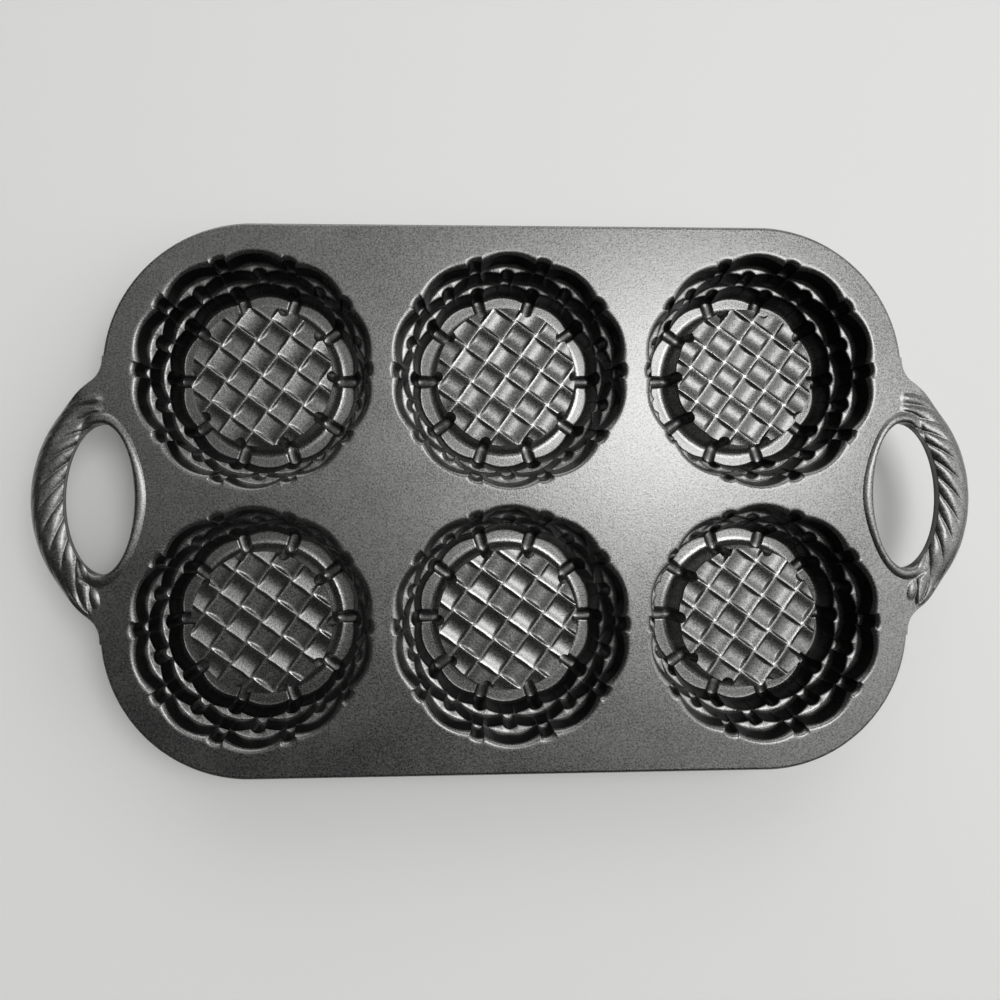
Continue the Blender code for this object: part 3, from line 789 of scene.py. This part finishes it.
def tab_ridges(x, y, strand, distance, gap):
    """Height of the strands as low ridges on the tabs, away from the bead and the free edge.

    At the back a ridge is a strand's section above VALLEY, with a soft foot; at the front it is a parabola.
    """
    valley = 1 - strand_round(strand)
    free = np.minimum(edge_gap(x, y), np.maximum(gap, 0.0))
    clear = smooth(free / RIDGE_EDGE_FADE) * smooth((distance - RIDGE_FOOT) / RIDGE_FOOT_FADE)
    front = FRONT_SHARE * (1 - across_strand(strand) ** 2)
    section = np.where(y > 0, (1 - valley / VALLEY) ** BACK_POWER, front)
    ridge = HEAD_HEIGHT * section * strands_left(strand) * clear * head_share(x, y, valley)
    front_ridge = np.maximum(ridge * smooth((x - FRONT_START) / FRONT_FADE), tail_height(x, y))
    return np.where(y > 0, ridge, front_ridge)


def strands_left(strand):
    """1 as far as the last strand of the rope, falling to 0 behind it."""
    return smooth((LAST_STRAND - np.abs(strand)) / LAST_FADE)


def handle_top(x, y, strand):
    """Height of a handle's top: deck level and bead, turning into the rope grip on the bow.

    The strands are valleys in the grip, deep at the window's side and faint outside, and low ridges on the
    tabs.
    """
    distance = window_distance(x, y)
    gap = GRIP_RADIUS - np.hypot(x - GRIP_CENTRE, y)
    turn = np.degrees(np.abs(np.arctan2(y, x - GRIP_CENTRE)))
    flat = soft_high(-rounding(edge_gap(x, y), EDGE_ROUNDING), bead_height(x, distance), BEAD_BLEND)
    on_bow = (1 - smooth((turn - BOW_TURN) / BOW_TURN_FADE)) * smooth((x - BOW_START) / BOW_START_FADE)
    relief = OUTSIDE_RELIEF + (1 - OUTSIDE_RELIEF) * smooth((RELIEF_END - distance) / RELIEF_FADE)
    depth = STRAND_RELIEF * relief * smooth(gap / OUTER_EDGE_FADE)
    bow = bow_height(x, distance, turn, gap) - depth * (1 - strand_round(strand)) * strands_left(strand)
    return flat + (bow - flat) * on_bow + tab_ridges(x, y, strand, distance, gap) * (1 - on_bow)


def handle_base(x, y, across):
    """Height of a handle's underside: -DECK_THICK under the tabs and GRIP_BASE under the grip, round-edged."""
    share = grip_share(x, y)
    side = np.clip(2 * across - 1, 0.0, 1.0)
    lift = GRIP_BASE_LIFT * (1 - np.sqrt(np.clip(1 - side ** 4, 0.0, None)))
    flat = -DECK_THICK + rounding(edge_gap(x, y), EDGE_ROUNDING)
    return share * (GRIP_BASE + lift) + (1 - share) * flat


def handle_shape():
    """Closed ring of sections round the window: top rows, underside rows and the window wall between them.

    Along the bow the top leans over the window by GRIP_LEAN, a little less in the valleys.
    """
    inner, outer = handle_loops()
    step = (1 - np.cos(np.pi * np.arange(ACROSS + 1) / ACROSS)) / 2
    span = outer - inner
    outward = span / np.linalg.norm(span, axis=-1, keepdims=True)
    on_bow = grip_share(inner[:, 0], inner[:, 1]) * smooth((inner[:, 0] - LEAN_START) / LEAN_FADE)
    edge = inner - outward * (GRIP_LEAN * on_bow)[:, None]
    narrowing = 1 - LEAN_VALLEY * (1 - strand_round(strand_place(edge[:, 0], edge[:, 1])))
    rows = []
    for share in step:
        place = inner + span * share
        lean = -GRIP_LEAN * on_bow * narrowing * np.clip(1 - share / LEAN_SHARE, 0.0, 1.0) ** 2
        shown = place + outward * lean[:, None]
        height = handle_top(place[:, 0], place[:, 1], strand_place(shown[:, 0], shown[:, 1]))
        rows.append(np.column_stack([shown, height]))
    top_count = len(rows)
    for share in step[::-BASE_STEP]:
        place = inner + span * share
        rows.append(np.column_stack([place, handle_base(place[:, 0], place[:, 1], share)]))
    top, base = rows[0][:, 2], rows[-1][:, 2]
    for rise, part in WALL_ROWS:
        place = inner - outward * (GRIP_LEAN * on_bow * part * narrowing)[:, None]
        rows.append(np.column_stack([place, base + (top - base) * rise]))
    rows = np.stack(rows)
    columns = len(inner)
    quads = row_quads(len(rows), columns)
    last = (len(rows) - 1) * columns + np.arange(columns)
    close = np.stack([last, np.roll(last, -1), (np.arange(columns) + 1) % columns, np.arange(columns)], axis=-1)
    # Painted light: plain level on the top, near-black painted shade on the window's wall, the underside and
    # the window's edge along the bow
    light_and_gloss = np.zeros((len(rows), columns))
    light_and_gloss[:top_count] = FLAT_LEVEL
    light_and_gloss[0] = FLAT_LEVEL * (1 - on_bow)
    return rows.reshape(-1, 3), np.concatenate([quads, close]), light_and_gloss.ravel()


def make_handles(finish):
    """A handle at each end; the left one is the right one's mirror image, with its faces turned back."""
    points, quads, light_and_gloss = handle_shape()
    none = np.zeros((0, 3), int)
    for name, side in (("rope_handle_left", -1), ("rope_handle_right", 1)):
        place = points.copy()
        place[:, 0] = side * (place[:, 0] + HALF_LENGTH)
        piece = store(name + "_cast", place, quads[:, ::-1] if side > 0 else quads, none, light_and_gloss)
        piece.data.materials.append(finish)
        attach(piece, "root")
        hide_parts(name)


# Deck

def deck_edge():
    """Rows down the free outside edge of the deck's back half, and how many rows and columns there are.

    The edge runs from the right notch round to the left one, rounded at the top and the base by quarter
    circles.
    """
    turns = np.linspace(np.arcsin((TAB_END - CORNER_Y) / CORNER), np.pi / 2, CORNER_POINTS)
    normal = np.stack([np.cos(turns), np.sin(turns)], axis=-1)
    right = np.array([HALF_LENGTH - CORNER, CORNER_Y]) + CORNER * normal
    normal[0] = (1.0, 0.0)
    flip = np.array([-1.0, 1.0])
    path = np.concatenate([right, right[::-1] * flip])
    normal = np.concatenate([normal, normal[::-1] * flip])
    bend = np.linspace(0, np.pi / 2, EDGE_POINTS)
    inset = EDGE_ROUNDING * (1 - np.sin(bend))
    fall = -EDGE_ROUNDING * (1 - np.cos(bend))
    insets = np.concatenate([[EDGE_ROUNDING + SUPPORT], inset, inset[::-1], [EDGE_ROUNDING + SUPPORT]])
    heights = np.concatenate([[0.0], fall, -DECK_THICK - fall[::-1], [-DECK_THICK]])
    rows = [np.column_stack([path - normal * i, np.full(len(path), h)]) for i, h in zip(insets, heights)]
    return np.concatenate(rows), len(rows), len(path)


def deck_loops():
    """Lines on the flat deck: its seams with the right and the left handle, and the six holes for the cups.

    A seam starts behind the bow, its end (3 parts), the fillet (3), the tab's edge (1) and the tab's end (1).
    """
    _, outer = handle_loops()
    first = BOW_PARTS + 8 * WING_PARTS
    count = 2 * (2 * WING_PARTS + 1) + BACK_PARTS - 1
    seam = outer[first:first + count] + np.array([HALF_LENGTH, 0.0])
    turns = column_turns(TOP_TURNS[0], PLAIN_KNOT)
    return [seam, -seam] + [arc(place, COLLAR, turns) for place in CUPS.values()]


def wall_quads(top, base, closed):
    """Quads between a line of points on the deck's top and the same line on its base."""
    quads = np.stack([np.roll(top, -1), np.roll(base, -1), base, top], axis=-1)
    return quads if closed else quads[:-1]


def inside_loop(places, loop):
    """Whether each place lies inside a closed loop: an odd number of its edges crosses the ray towards +X."""
    following = np.roll(loop, -1, axis=0)
    inside = np.zeros(len(places), bool)
    for (x0, y0), (x1, y1) in zip(loop, following):
        if y0 != y1:
            crosses = (y0 > places[:, 1]) != (y1 > places[:, 1])
            at = x0 + (places[:, 1] - y0) * (x1 - x0) / (y1 - y0)
            inside ^= crosses & (places[:, 0] < at)
    return inside


def plate_triangles(points, outline, holes):
    """Triangles of the flat top or base, from the numbers of the points on its outline and round its holes."""
    loops = [outline] + holes
    index = np.concatenate(loops)
    starts = np.cumsum([0] + [len(loop) for loop in loops])
    edges = np.concatenate([loop_edges(start, len(loop)) for start, loop in zip(starts, loops)])
    triangles = flat_triangles(points[index, :2], edges)
    middle = points[index, :2][triangles].mean(axis=1)
    kept = inside_loop(middle, points[outline, :2])
    for x, y in CUPS.values():
        kept &= np.hypot(middle[:, 0] - x, middle[:, 1] - y) > COLLAR * HOLE_MARGIN
    return index[triangles[kept]]


def end_caps(count, rows, half, tops, bases):
    """Flat ends of the rounded edge at the notches, as fans from the notch's upper corner."""
    caps = []
    ends = (
        (0, 0, tops[0][0], bases[0][0], False),
        (count - 1, 0, tops[1][-1], bases[1][-1], True),
        (0, half, tops[1][0], bases[1][0], False),
        (count - 1, half, tops[0][-1], bases[0][-1], True),
    )
    for column, shift, top, base, turned in ends:
        line_points = shift + column + count * np.arange(rows)
        chain = np.concatenate([line_points, [base]])
        fan = np.stack([np.full(len(chain) - 1, top), chain[:-1], chain[1:]], axis=-1)
        caps.append(fan if turned else fan[:, ::-1])
    return caps


def deck_shape():
    """Flat plate with holes for the cups, notches for the handles, and a rounded free edge front and back."""
    back, rows, count = deck_edge()
    half = len(back)
    points = [back, back * np.array([-1.0, -1.0, 1.0])]
    offset = 2 * half
    tops, bases = [], []
    for loop in deck_loops():
        for lines, height in ((tops, 0.0), (bases, -DECK_THICK)):
            points.append(np.column_stack([loop, np.full(len(loop), height)]))
            lines.append(offset + np.arange(len(loop)))
            offset += len(loop)
    points = np.concatenate(points)
    edge_quads = row_quads(rows, count, closed=False)[:, ::-1]
    quads = [edge_quads, edge_quads + half]
    quads += [wall_quads(top, base, True) for top, base in zip(tops[2:], bases[2:])]
    quads += [wall_quads(top, base, False) for top, base in zip(tops[:2], bases[:2])]
    triangles = []
    for row, loops, turn in ((0, tops, 1), (rows - 1, bases, -1)):
        back_line = row * count + np.arange(count)
        outline = np.concatenate([back_line, loops[1][::-1], half + back_line, loops[0][::-1]])
        triangles.append(plate_triangles(points, outline, loops[2:])[:, ::turn])
    triangles += end_caps(count, rows, half, tops, bases)
    return points, np.concatenate(quads), np.concatenate(triangles)


def make_deck(finish):
    """The deck plate as one piece."""
    points, quads, triangles = deck_shape()
    piece = store("deck_plate_cast", points, quads, triangles, np.full(len(points), FLAT_LEVEL))
    piece.data.materials.append(finish)
    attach(piece, "root")
    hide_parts("deck_plate")


# Finishes

def ranged(tree, source, limits, results):
    """Value taken from between two limits to between two results, and held there."""
    node = tree.nodes.new("ShaderNodeMapRange")
    for name, value in zip(("From Min", "From Max", "To Min", "To Max"), (*limits, *results)):
        node.inputs[name].default_value = value
    tree.links.new(source, node.inputs["Value"])
    return node.outputs["Result"]


def combined(tree, operation, first, second):
    """Two values put together by a Math node's operation."""
    node = tree.nodes.new("ShaderNodeMath")
    node.operation = operation
    tree.links.new(first, node.inputs[0])
    tree.links.new(second, node.inputs[1])
    return node.outputs["Value"]


def noise(tree, scale, detail):
    """Noise on Object coordinates."""
    place = tree.nodes.new("ShaderNodeTexCoord")
    node = tree.nodes.new("ShaderNodeTexNoise")
    node.inputs["Scale"].default_value = scale
    node.inputs["Detail"].default_value = detail
    tree.links.new(place.outputs["Object"], node.inputs["Vector"])
    return node.outputs["Fac"]


def casting_finish(name):
    """Graphite non-stick coat on a casting: fine speckle, faint clouds and orange-peel bump.

    It is lighter, as painted highlight, and smoother where the piece's painted-light value is high, and near
    black, as painted shade, where it is low.
    """
    material = bpy.data.materials.new(name)
    material.use_nodes = True
    tree = material.node_tree
    shader = tree.nodes["Principled BSDF"]
    shader.inputs["Metallic"].default_value = METALLIC
    shader.inputs["Specular IOR Level"].default_value = SPECULAR
    speck = noise(tree, GRAIN_SCALE, GRAIN_DETAIL)
    cloud = ranged(tree, noise(tree, CLOUD_SCALE, CLOUD_DETAIL), CLOUD_RANGE, CLOUD_SHADES)
    light_and_gloss = tree.nodes.new("ShaderNodeAttribute")
    light_and_gloss.attribute_name = "painted_light_and_gloss"
    # Painted light: the tone runs from the painted-shade coat to the painted-highlight coat by the point's
    # value
    tone = tree.nodes.new("ShaderNodeMix")
    tone.data_type = "RGBA"
    tone.inputs["A"].default_value = PAINTED_SHADE_COAT
    tone.inputs["B"].default_value = PAINTED_HIGHLIGHT_COAT
    tree.links.new(light_and_gloss.outputs["Fac"], tone.inputs["Factor"])
    scaled = tree.nodes.new("ShaderNodeVectorMath")
    scaled.operation = "SCALE"
    tree.links.new(tone.outputs["Result"], scaled.inputs[0])
    shade = combined(tree, "MULTIPLY", ranged(tree, speck, GRAIN_RANGE, GRAIN_SHADES), cloud)
    tree.links.new(shade, scaled.inputs["Scale"])
    tree.links.new(scaled.outputs["Vector"], shader.inputs["Base Color"])
    rough = combined(tree, "MULTIPLY", ranged(tree, light_and_gloss.outputs["Fac"], (0.0, 1.0), ROUGHNESS), cloud)
    grained = combined(tree, "MULTIPLY", rough, ranged(tree, speck, GRAIN_RANGE, GRAIN_ROUGHNESS))
    tree.links.new(grained, shader.inputs["Roughness"])
    bump = tree.nodes.new("ShaderNodeBump")
    bump.inputs["Strength"].default_value = BUMP_STRENGTH
    bump.inputs["Distance"].default_value = BUMP_DISTANCE
    tree.links.new(speck, bump.inputs["Height"])
    tree.links.new(bump.outputs["Normal"], shader.inputs["Normal"])
    return material


# Floor, light and camera

def make_floor():
    """Plain pale floor under the pan."""
    mesh = bpy.data.meshes.new("floor")
    corners = [(-FLOOR_HALF, -FLOOR_HALF, 0), (FLOOR_HALF, -FLOOR_HALF, 0)]
    corners += [(FLOOR_HALF, FLOOR_HALF, 0), (-FLOOR_HALF, FLOOR_HALF, 0)]
    mesh.from_pydata(corners, [], [(0, 1, 2, 3)])
    floor = bpy.data.objects.new("floor", mesh)
    bpy.context.scene.collection.objects.link(floor)
    material = bpy.data.materials.new("pale_floor")
    material.use_nodes = True
    shader = material.node_tree.nodes["Principled BSDF"]
    shader.inputs["Base Color"].default_value = FLOOR_COLOUR
    shader.inputs["Roughness"].default_value = FLOOR_ROUGHNESS
    mesh.materials.append(material)


def make_room():
    """Dim room with soft bright patches, each smooth from its middle to its reach."""
    world = bpy.data.worlds.new("studio")
    bpy.context.scene.world = world
    world.use_nodes = True
    tree = world.node_tree
    place = tree.nodes.new("ShaderNodeTexCoord")
    total = tree.nodes.new("ShaderNodeValue").outputs["Value"]
    total.default_value = ROOM_LEVEL
    for direction, reach, strength in ROOM:
        facing = tree.nodes.new("ShaderNodeVectorMath")
        facing.operation = "DOT_PRODUCT"
        facing.inputs[1].default_value = direction
        tree.links.new(place.outputs["Generated"], facing.inputs[0])
        patch = ranged(tree, facing.outputs["Value"], (np.cos(np.radians(reach)), 1.0), (0.0, strength))
        patch.node.interpolation_type = "SMOOTHSTEP"
        total = combined(tree, "ADD", total, patch)
    tree.links.new(total, tree.nodes["Background"].inputs["Strength"])
    tree.nodes["Background"].inputs["Color"].default_value = ROOM_COLOUR


def make_lamp():
    """One soft lamp above the pan, at the right."""
    lamp = bpy.data.lights.new("soft_lamp", "AREA")
    lamp.shape = "SQUARE"
    lamp.size = LAMP_SIZE
    lamp.energy = LAMP_POWER
    holder = bpy.data.objects.new("soft_lamp", lamp)
    holder.location = LAMP_PLACE
    aim = Vector(LAMP_AIM) - holder.location
    holder.rotation_euler = aim.to_track_quat("-Z", "Y").to_euler()
    bpy.context.scene.collection.objects.link(holder)


def make_camera():
    """Camera close above the pan, a little left of its middle, as the photograph was taken."""
    data = bpy.data.cameras.new("camera")
    data.sensor_width = SENSOR
    data.lens = LENS
    data.shift_x, data.shift_y = LENS_SHIFT
    data.clip_start = NEAREST
    camera = bpy.data.objects.new("camera", data)
    bpy.context.scene.collection.objects.link(camera)
    turn = Vector(np.radians(CAMERA_TURN).tolist())
    to_camera = Matrix.Rotation(turn.length, 3, turn.normalized())
    camera.matrix_world = Matrix.Translation(CAMERA_PLACE) @ to_camera.transposed().to_4x4()
    bpy.context.scene.camera = camera


def main():
    """Build the pieces, the stage and the camera."""
    make_camera()
    make_cups(casting_finish("cup_coating"))
    make_deck(casting_finish("deck_coating"))
    make_handles(casting_finish("rope_coating"))
    make_floor()
    make_room()
    make_lamp()
    bpy.context.scene.view_settings.view_transform = "Standard"


main()
